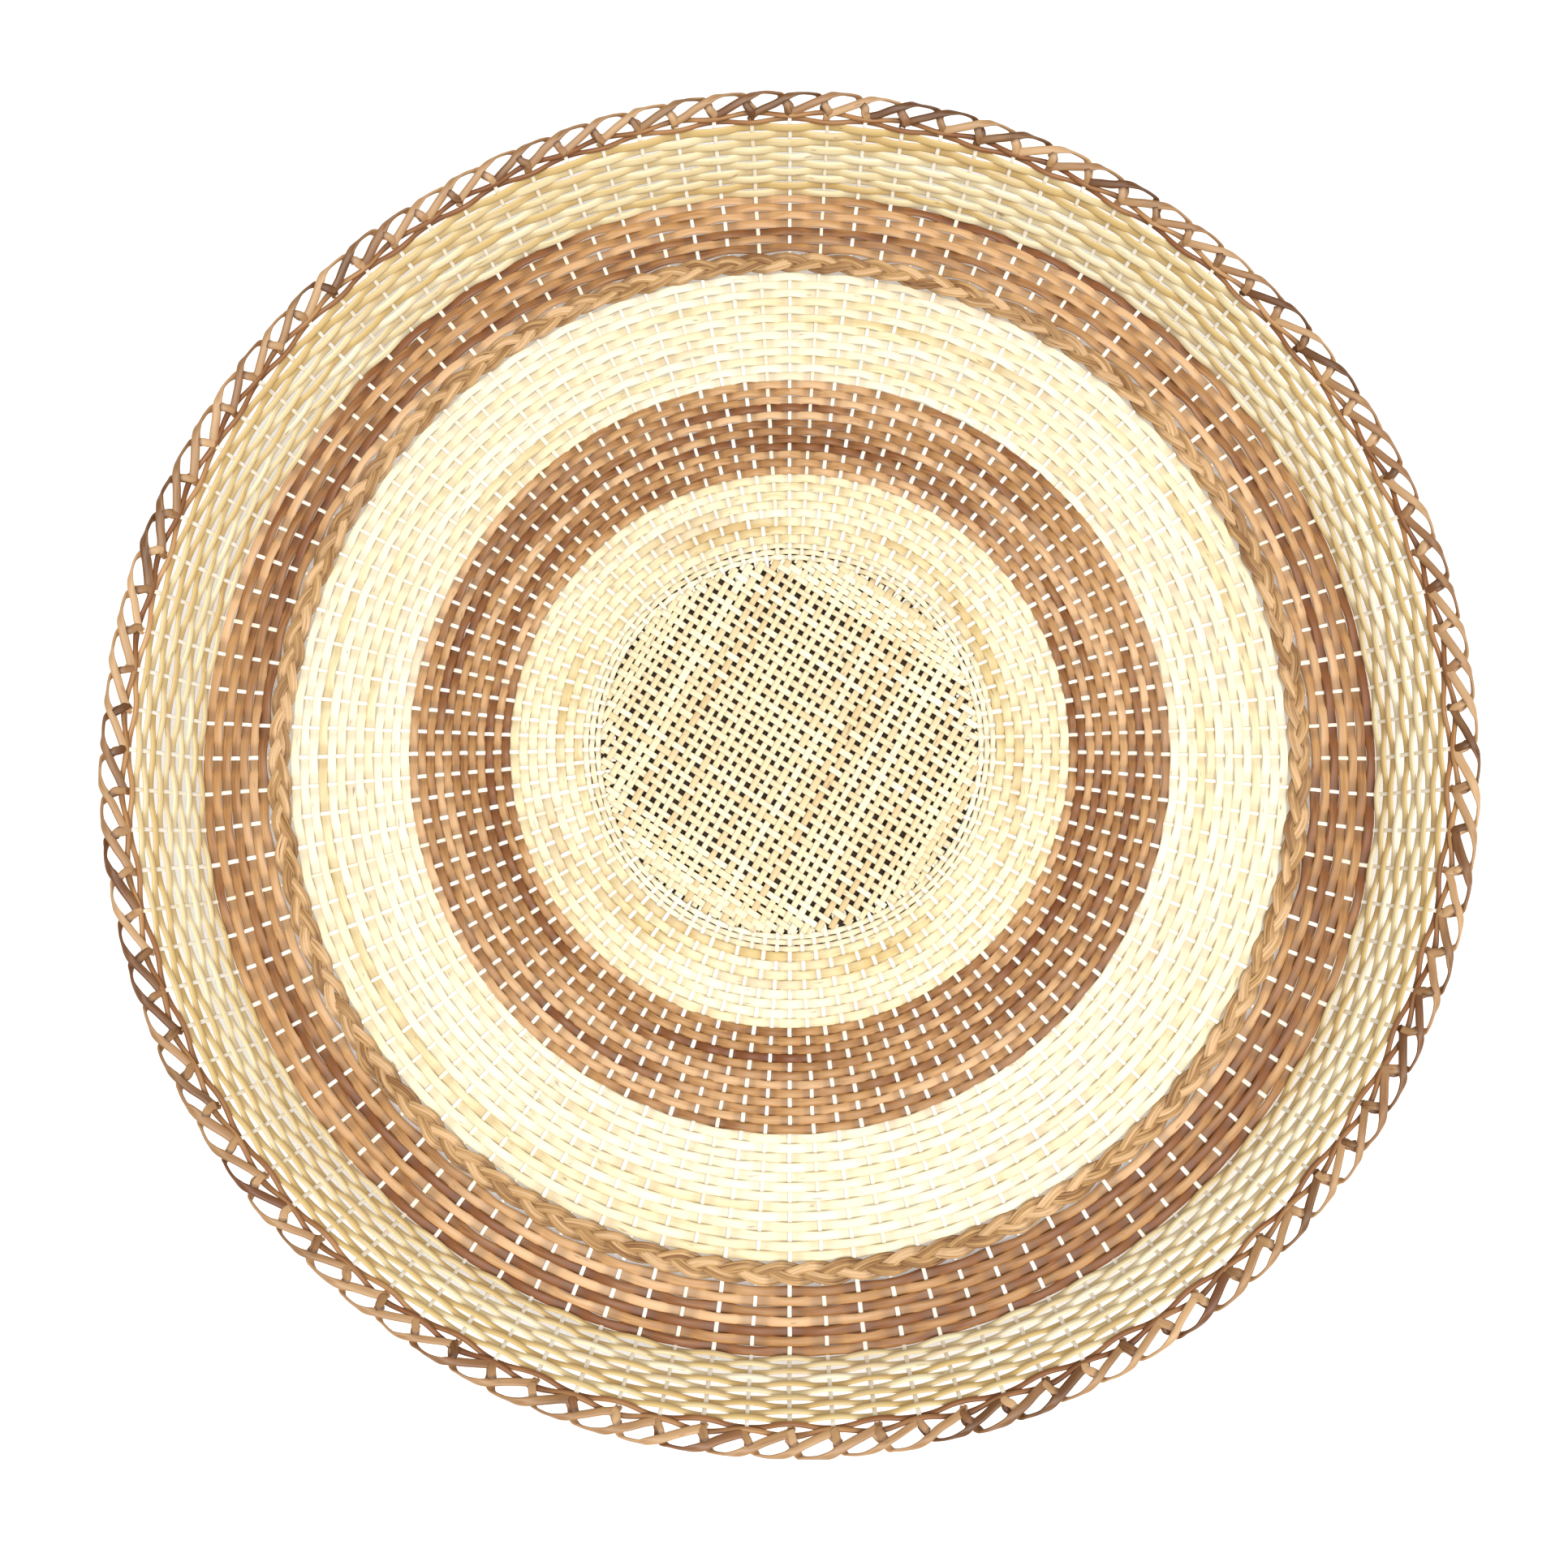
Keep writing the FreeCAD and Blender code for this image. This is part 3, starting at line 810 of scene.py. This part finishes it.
def plaited_strips(name, angle, other_angle, offsets, others, radius, level, lift, width, thickness,
                   over_first, seed, stations, tone_spread):
    """Parallel strips of one direction, over and under the strips of the other direction."""
    rng = np.random.default_rng(seed)
    along = np.array([math.cos(angle), math.sin(angle)])
    aside = np.array([-math.sin(angle), math.cos(angle)])
    numbers = np.flatnonzero(np.abs(offsets) < radius - 0.6 * width)
    offsets = offsets[numbers]
    strips = len(offsets)
    reach = np.sqrt(radius ** 2 - offsets ** 2) - 0.4 * MM * rng.uniform(0, 1, strips)
    run = np.linspace(-1, 1, stations)[None, :] * reach[:, None]
    phase = rng.uniform(0, 2 * np.pi, (strips, 2))
    drift = 0.10 * MM * (np.sin(run * 70 + phase[:, :1]) + np.sin(run * 150 + phase[:, 1:]))
    side = offsets[:, None] + drift
    flat = run[..., None] * along + side[..., None] * aside
    # which strip of the other direction lies here, as a number with fractions between them
    other_aside = np.array([-math.sin(other_angle), math.cos(other_angle)])
    crossing = np.interp(flat @ other_aside, others, np.arange(len(others)))
    mine = numbers[:, None] + over_first
    crest = np.cos(np.pi * (crossing + mine))
    bow = np.sign(crest) * np.abs(crest) ** 0.7 * lift
    path = np.concatenate([flat, (level + bow)[..., None]], axis=-1)
    up = np.broadcast_to(np.array([0.0, 0.0, 1.0]), path.shape)
    across, above = strand_frames(path, up, False)
    ripple = 0.03 * np.sin(run * 90 + phase[:, 1:])
    half_width = width / 2 * (1 + 0.08 * rng.normal(size=(strips, 1)) + ripple)
    half_height = thickness / 2 * np.ones_like(run)
    tone = tone_spread * rng.normal(size=(strips, 1)) + 0.3 * np.sin(run * 40 + phase[:, :1])
    hue = np.clip(0.10 * rng.normal(size=(strips, 1)) + 0.12 * np.sin(run * 60 + phase[:, 1:]) - 0.05, 0, 1)
    return strand_mesh(name, path, across, above, half_width, half_height, False, tone, hue,
                       crest, seed * 100, sides=8, squareness=3.0)


class BASKET_OT_mat(bpy.types.Operator):
    """Plait the open mat in the middle, and the near-black layer under it that puts painted shade in the
    mat's holes
    """

    bl_idname = "basket.mat"
    bl_label = "Plaited Mat"

    def execute(self, context):
        sizes = context.scene.basket_sizes
        cream = finish(shaved_cream_cane, context)
        tan = finish(split_tan_cane, context)
        dark = finish(shade_dark_bamboo_splint, context)
        low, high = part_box("mat_strips_falling")
        level = (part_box("mat_strips_rising")[0].z + high.z) / 2
        radius = (high.x - low.x) / 2
        rng = np.random.default_rng(40)
        fall_offsets = mat_offsets(rng, radius, sizes.strip_pitch, EVEN_FALLING)
        rise_offsets = mat_offsets(rng, radius, sizes.strip_pitch, EVEN_RISING)
        shape = {"radius": radius, "level": level, "lift": STRIP_LIFT, "width": sizes.strip_width,
                 "thickness": STRIP_THICKNESS, "stations": 170}
        piece = plaited_strips("plaited_strips_falling", FALLING, RISING, fall_offsets, rise_offsets,
                               over_first=0, seed=41, tone_spread=0.5, **shape)
        finish_piece(piece, cream, "white_cane", "mat_strips_falling")
        piece = plaited_strips("plaited_strips_rising", RISING, FALLING, rise_offsets, fall_offsets,
                               over_first=1, seed=42, tone_spread=0.6, **shape)
        finish_piece(piece, tan, "tan_cane", "mat_strips_rising")

        # a second layer of splints, made near black so that the mat's holes show painted shade
        low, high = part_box("mat_backing")
        shape = {"radius": high.x, "level": (low.z + high.z) / 2, "lift": SPLINT_LIFT,
                 "width": SPLINT_WIDTH, "thickness": SPLINT_THICKNESS, "stations": 120}
        splints = np.arange(-9, 10) * SPLINT_SPACING
        for index, (angle, other) in enumerate(((FALLING, RISING), (RISING, FALLING))):
            piece = plaited_strips(f"shade_splints_under_mat_{index + 1}", angle, other, splints, splints,
                                   over_first=index, seed=45 + index, tone_spread=0.5, **shape)
            finish_piece(piece, dark, "dark_splint", "mat_backing")
        return {"FINISHED"}


# one border cane from its hidden start over the rim to its hidden end: stake spacings clockwise,
# millimetres up the flare from the wall's top, millimetres above the flare's middle, inside
# positive, and the turn of its flat side in degrees, 0 facing in and 90 facing out over the rim
BORDER_LINE = [
    (-0.05, 1.4, -0.8, 0), (0.02, 3.3, 0.8, 0), (0.28, 4.9, 1.5, 0), (0.60, 6.9, 1.8, 0),
    (0.90, 8.9, 1.7, 12), (1.12, 10.2, 1.1, 50), (1.38, 10.7, 0.1, 88), (1.66, 10.4, -0.8, 100),
    (1.82, 9.3, -1.4, 150), (1.90, 7.6, -1.6, 178), (1.97, 5.8, -1.2, 180), (2.02, 4.2, -0.8, 180),
]
# a cane's tail, from its cut end inside the border down to the next foot
TAIL_LINE = [(-0.13, 7.5, 2.0, 0), (-0.07, 6.1, 2.1, 0), (-0.01, 4.5, 1.8, 0), (0.03, 2.9, 1.0, 0)]


# how far each of those four numbers strays from cane to cane
BORDER_SWAY = (0.03, 0.14, 0.12, 4.0)
# how far up the flare the two thin brown rows lie, as shares of its length
THIN_ROWS = (0.12, 0.335)


def smooth_line(controls, steps):
    """Points on a smooth curve through the controls, given as (strands, controls, 3)."""
    padded = np.concatenate([2 * controls[:, :1] - controls[:, 1:2], controls,
                             2 * controls[:, -1:] - controls[:, -2:-1]], axis=1)
    pieces = []
    share = np.linspace(0, 1, steps, endpoint=False)[None, :, None]
    for i in range(controls.shape[1] - 1):
        a, b, c, d = (padded[:, i + n, None, :] for n in range(4))
        pieces.append(0.5 * (2 * b + (c - a) * share + (2 * a - 5 * b + 4 * c - d) * share ** 2
                             + (3 * b - a - 3 * c + d) * share ** 3))
    pieces.append(controls[:, -1:])
    return np.concatenate(pieces, axis=1)


class BASKET_OT_border(bpy.types.Operator):
    """Bend the border canes over the rim"""

    bl_idname = "basket.border"
    bl_label = "Open Border"

    def execute(self, context):
        sizes = context.scene.basket_sizes
        material = finish(bent_border_rattan, context)
        rng = np.random.default_rng(160)
        rows = [row for row in weave_plan(sizes) if row["band"] == "top_brown"]
        (first, low, tilt), (second, high, _) = rows[0]["place"], rows[1]["place"]
        flare_length = math.hypot(second - first, high - low) / (THIN_ROWS[1] - THIN_ROWS[0])
        base_radius = first - THIN_ROWS[0] * flare_length * math.cos(tilt)
        base_height = low - THIN_ROWS[0] * flare_length * math.sin(tilt)
        parts = []
        for controls, cut_at in ((BORDER_LINE, None), (TAIL_LINE, 0)):
            controls = np.array(controls)[None] + np.zeros((STAKES, 1, 1))
            free = np.linspace(0.3, 1.0, controls.shape[1])[None, :, None]
            controls = controls + np.array(BORDER_SWAY) * free * rng.normal(size=controls.shape)
            controls[:, :, 1] += 0.25 * rng.normal(size=(STAKES, 1)) * free[..., 0]
            bent = smooth_line(controls, 5 if cut_at is None else 4)
            stake = np.arange(STAKES)[:, None]
            turn = math.pi / 2 - (stake + bent[:, :, 0]) * 2 * math.pi / STAKES
            up_flare, over = bent[:, :, 1] * MM, bent[:, :, 2] * MM
            radial = base_radius + up_flare * math.cos(tilt) - over * math.sin(tilt)
            height = base_height + up_flare * math.sin(tilt) + over * math.cos(tilt)
            path = np.stack([radial * np.cos(turn), radial * np.sin(turn), height], axis=-1)
            out = np.stack([np.cos(turn), np.sin(turn), 0 * turn], axis=-1)
            upright = np.array([0.0, 0.0, 1.0])
            normal = out * -math.sin(tilt) + upright * math.cos(tilt)
            outward = out * math.cos(tilt) + upright * math.sin(tilt)
            face = np.radians(bent[:, :, 3])[..., None]
            up = normal * np.cos(face) + outward * np.sin(face)
            across, above = strand_frames(path, up, False)
            shape = path.shape[:2]
            slim = 1 + 0.07 * rng.normal(size=(STAKES, 1))
            cut = np.zeros(shape)
            if cut_at is not None:
                cut[:, cut_at:cut_at + 3] = (1.0, 0.9, 0.4)
            parts.append({
                "path": path, "across": across, "above": above,
                "half_width": sizes.border_width / 2 * slim * np.ones(shape),
                "half_height": sizes.border_thickness / 2 * slim * np.ones(shape),
                "tone": (0.8 * rng.normal(size=(STAKES, 1))
                         + 0.25 * rng.normal(size=(STAKES, 1)) * np.linspace(-1, 1, shape[1])),
                "hue": np.clip(0.35 * rng.normal(size=(STAKES, 1)) * np.ones(shape), 0, 1),
                "cut": cut})
        for name, seed, part in zip(("border_canes", "border_tails"), (300, 500), parts):
            part["crest"] = np.ones_like(part["tone"])
            piece = strand_mesh(name, closed=False, seed=seed, sides=10, squareness=2.6, **part)
            finish_piece(piece, material, "border_cane", "border_strands")
        return {"FINISHED"}


def look_at(thing, target):
    """Turn a camera or light so that it looks at a point."""
    thing.rotation_euler = (Vector(target) - thing.location).to_track_quat("-Z", "Y").to_euler()


# the camera looks down into the basket, a little from the front; places are in metres
CAMERA_PLACE, CAMERA_TARGET = (0.0, -0.0745, 0.5326), (0.0, 0.0, 0.0025)
CAMERA_SENSOR, CAMERA_LENS = 36, 31.25
CAMERA_SHIFT = (-0.0036, -0.0199)
FLOOR_HALF, FLOOR_STEPS = 3.0, 12
AIR_STRENGTH = 0.45
LAMPS = [
    # name, place, size in metres, watts
    ("key_softbox", (0.1, -0.3, 1.6), 1.2, 22.0),
    ("fill_softbox", (0.9, -0.4, 1.4), 1.6, 7.0),
]


class BASKET_OT_stage(bpy.types.Operator):
    """Set the floor, the lights and the camera"""

    bl_idname = "basket.stage"
    bl_label = "Stage"

    def execute(self, context):
        scene = context.scene
        scene.view_settings.view_transform = "Standard"
        camera = bpy.data.objects.new("basket_camera", bpy.data.cameras.new("basket_camera"))
        scene.collection.objects.link(camera)
        camera.data.sensor_width = CAMERA_SENSOR
        camera.data.lens = CAMERA_LENS
        camera.data.shift_x, camera.data.shift_y = CAMERA_SHIFT
        camera.data.clip_start = 0.01
        camera.location = CAMERA_PLACE
        look_at(camera, CAMERA_TARGET)
        scene.camera = camera

        line = np.linspace(-FLOOR_HALF, FLOOR_HALF, FLOOR_STEPS + 1)
        x, y = np.meshgrid(line, line, indexing="ij")
        points = np.stack([x, y, 0 * x], axis=-1).reshape(-1, 3)
        index = np.arange(x.size).reshape(x.shape)
        faces = np.stack([index[:-1, :-1], index[1:, :-1], index[1:, 1:], index[:-1, 1:]], axis=-1)
        mesh = bpy.data.meshes.new("sweep_floor")
        mesh.from_pydata(points.tolist(), [], faces.reshape(-1, 4).tolist())
        mesh.materials.append(matte_sweep_paper(scene.basket_colours))
        floor = bpy.data.objects.new("sweep_floor", mesh)
        scene.collection.objects.link(floor)

        for name, place, size, power in LAMPS:
            lamp = bpy.data.objects.new(name, bpy.data.lights.new(name, "AREA"))
            scene.collection.objects.link(lamp)
            lamp.data.shape = "DISK"
            lamp.data.size = size
            lamp.data.energy = power
            lamp.location = place
            look_at(lamp, (0, 0, 0))
        world = bpy.data.worlds.new("studio_air")
        scene.world = world
        world.use_nodes = True
        tree = world.node_tree
        tree.nodes.clear()
        air = add_node(tree, "ShaderNodeBackground", {"Color": (1, 1, 1, 1), "Strength": AIR_STRENGTH})
        add_node(tree, "ShaderNodeOutputWorld", {"Surface": air.outputs[0]})
        return {"FINISHED"}


class VIEW3D_PT_basket(bpy.types.Panel):
    """Lists the basket's sizes, colours and pieces"""

    bl_label = "Winnowing Basket"
    bl_space_type = "VIEW_3D"
    bl_region_type = "UI"
    bl_category = "Basket"

    def draw(self, context):
        layout = self.layout
        for operator in OPERATORS:
            layout.operator(operator.bl_idname)
        groups = {"Sizes": context.scene.basket_sizes, "Colours": context.scene.basket_colours}
        for title, group in groups.items():
            box = layout.box()
            box.label(text=title)
            for name in group.bl_rna.properties.keys():
                if name not in ("rna_type", "name"):
                    box.prop(group, name)


OPERATORS = (BASKET_OT_stage, BASKET_OT_natural_rows, BASKET_OT_brown_rows, BASKET_OT_fine_rows,
             BASKET_OT_stakes, BASKET_OT_plait, BASKET_OT_mat, BASKET_OT_border)
CLASSES = (BasketSizes, BasketColours, *OPERATORS, VIEW3D_PT_basket)


def register():
    for item in CLASSES:
        bpy.utils.register_class(item)
    bpy.types.Scene.basket_sizes = PointerProperty(type=BasketSizes)
    bpy.types.Scene.basket_colours = PointerProperty(type=BasketColours)


def unregister():
    del bpy.types.Scene.basket_colours
    del bpy.types.Scene.basket_sizes
    for item in reversed(CLASSES):
        bpy.utils.unregister_class(item)


def main():
    """Make every piece in order."""
    register()
    bpy.ops.basket.stage()
    bpy.ops.basket.natural_rows()
    bpy.ops.basket.brown_rows()
    bpy.ops.basket.fine_rows()
    bpy.ops.basket.stakes()
    bpy.ops.basket.plait()
    bpy.ops.basket.mat()
    bpy.ops.basket.border()


if __name__ == "__main__":
    main()
